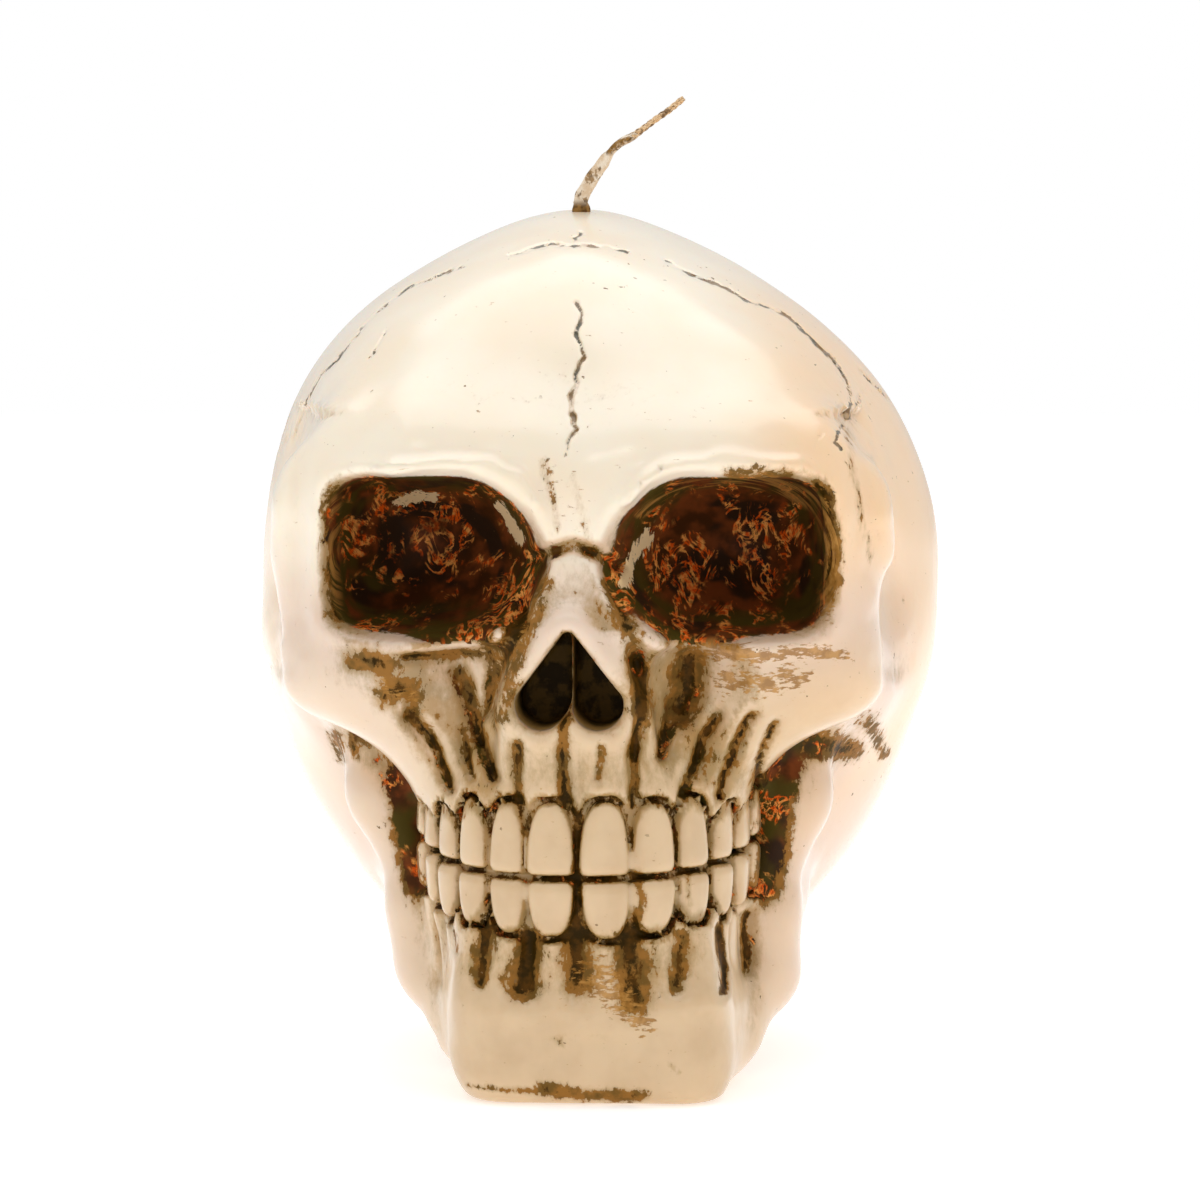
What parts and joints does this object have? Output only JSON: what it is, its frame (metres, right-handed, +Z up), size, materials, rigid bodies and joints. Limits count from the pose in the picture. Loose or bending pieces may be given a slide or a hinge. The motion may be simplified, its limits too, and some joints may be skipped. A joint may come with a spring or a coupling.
{
  "type": "skull candle",
  "caption": "Wax candle cast as a life-like human skull with closed jaw, flat base and a free braided wick at the crown.",
  "frame": {"origin": "centre of the outline's bounding box at the level of the flat base", "axes": "+Z up from the base to the crown, the face looks along -Y, +X to the right of someone who faces it"},
  "size_m": [0.1226, 0.1384, 0.1701],
  "materials": {
    "wax_ivory": "semi-gloss",
    "wax_plain": "satin",
    "wick_cotton": "matte",
    "tinned_steel": "satin"
  },
  "bodies": {
    "root": {"skull_casting": "wax_ivory", "base_top_up": "wax_plain", "wick": "wick_cotton", "wick_sustainer": "tinned_steel"}
  },
  "joints": []
}
